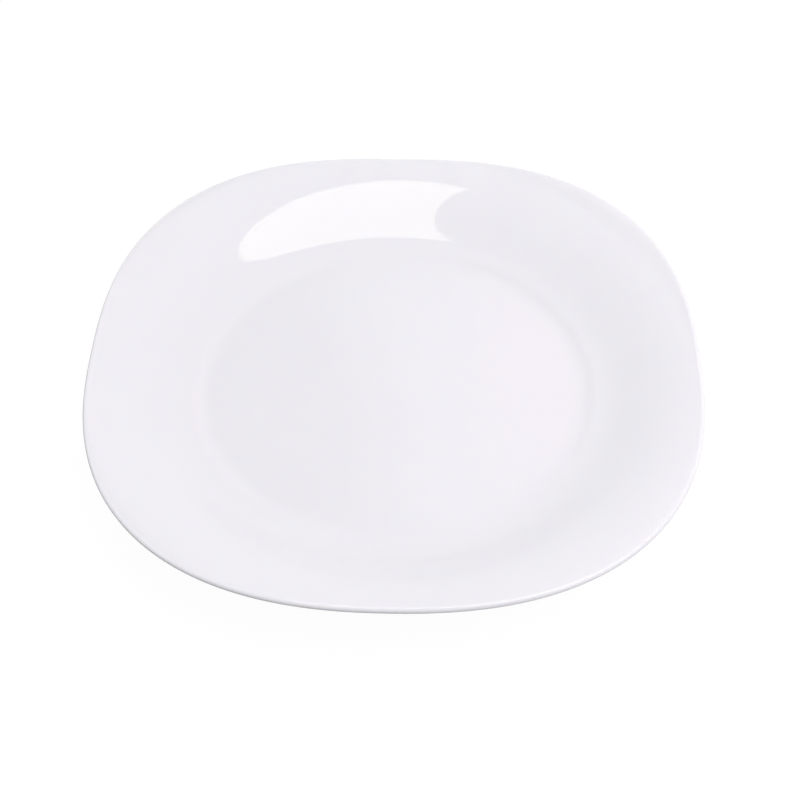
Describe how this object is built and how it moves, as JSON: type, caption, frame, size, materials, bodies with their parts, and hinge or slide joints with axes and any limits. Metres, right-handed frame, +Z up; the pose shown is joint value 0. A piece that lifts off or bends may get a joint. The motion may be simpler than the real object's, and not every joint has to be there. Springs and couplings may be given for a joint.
{
  "type": "dessert plate",
  "caption": "Rounded-square dessert plate of white opal glass with a flat round well, a soft S-shaped side, a rounded lip and a low foot ring.",
  "frame": {"origin": "centre of the foot ring, on the surface that the plate stands on", "axes": "+Z up along the dish's axis, X and Y through the middles of the sides"},
  "size_m": [0.19, 0.19, 0.0203],
  "materials": {
    "opal_glass": "pressed and fire-polished opal glass, opaque white, glossy"
  },
  "bodies": {
    "root": {"plate": "opal_glass"}
  },
  "joints": []
}
